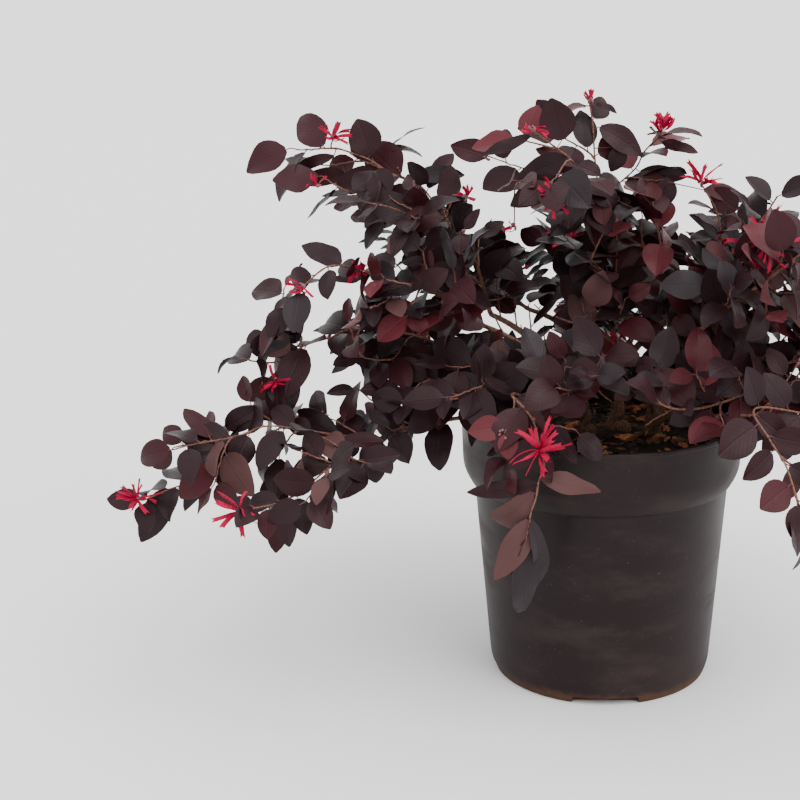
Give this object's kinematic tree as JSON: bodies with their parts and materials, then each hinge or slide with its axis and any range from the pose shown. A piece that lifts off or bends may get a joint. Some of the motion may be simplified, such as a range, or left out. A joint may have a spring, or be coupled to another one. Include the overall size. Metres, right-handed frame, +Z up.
{
  "type": "potted fringe flower shrub",
  "caption": "Young dark-leaved fringe shrub with ribbon-petalled crimson flowers, standing in its round black nursery pot.",
  "frame": {"origin": "centre of the pot's flat underside, on the ground", "axes": "+Z up along the pot's axis, -Y towards the side seen in the picture, +X to its right"},
  "size_m": [0.5661, 0.4336, 0.3999],
  "materials": {
    "pot_plastic": "matte moulded plastic, brown-black, scuffed and dusty with dried splashes",
    "substrate": "rough damp peat",
    "bark_chips": "rough orange-brown bark chips",
    "bark": "thin fissured grey-brown bark",
    "twig": "finely hairy red-brown young shoots",
    "leaf_dark": "satin leaf, purple-black",
    "leaf_wine": "satin leaf, wine purple",
    "leaf_young": "satin young leaf, red-bronze",
    "leaf_underside": "matte downy leaf underside, mauve-brown",
    "petal": "soft matte petal, crimson",
    "calyx": "downy bud and calyx, dusky mauve"
  },
  "bodies": {
    "root": {"bough_back": "bark", "bough_back_left": "bark", "bough_back_left_low": "bark", "bough_back_low": "bark", "bough_back_right": "bark", "bough_back_right_low": "bark", "bough_front_centre": "bark", "bough_front_hang": "bark", "bough_front_left": "bark", "bough_front_right": "bark", "bough_left_low": "bark", "bough_left_lower": "bark", "bough_left_third": "bark", "bough_left_upper": "bark", "bough_right": "bark", "bough_right_low": "bark", "bough_right_mid": "bark", "bough_right_upper": "bark", "foliage_back": "leaf_dark", "foliage_back_left": "leaf_dark", "foliage_back_left_low": "leaf_dark", "foliage_back_low": "leaf_dark", "foliage_back_right": "leaf_dark", "foliage_back_right_low": "leaf_dark", "foliage_centre": "leaf_dark", "foliage_centre_upper": "leaf_dark", "foliage_front_centre": "leaf_dark", "foliage_front_hang": "leaf_dark", "foliage_front_hang_tip": "leaf_dark", "foliage_front_left": "leaf_dark", "foliage_front_right": "leaf_dark", "foliage_left_low": "leaf_dark", "foliage_left_low_hang": "leaf_dark", "foliage_left_low_tip": "leaf_dark", "foliage_left_lower": "leaf_dark", "foliage_left_lower_tip": "leaf_dark", "foliage_left_mid": "leaf_dark", "foliage_left_third": "leaf_dark", "foliage_left_third_tip": "leaf_dark", "foliage_left_upper": "leaf_dark", "foliage_left_upper_tip": "leaf_dark", "foliage_right": "leaf_dark", "foliage_right_far": "leaf_dark", "foliage_right_low": "leaf_dark", "foliage_right_low_hang": "leaf_dark", "foliage_right_mid": "leaf_dark", "foliage_right_tip": "leaf_dark", "foliage_right_upper": "leaf_dark", "foliage_top": "leaf_dark", "foliage_top_left": "leaf_dark", "foliage_top_right": "leaf_dark", "pot": "pot_plastic", "stem_left": "bark", "stem_main": "bark", "stem_right": "bark", "substrate": "substrate"}
  },
  "joints": []
}
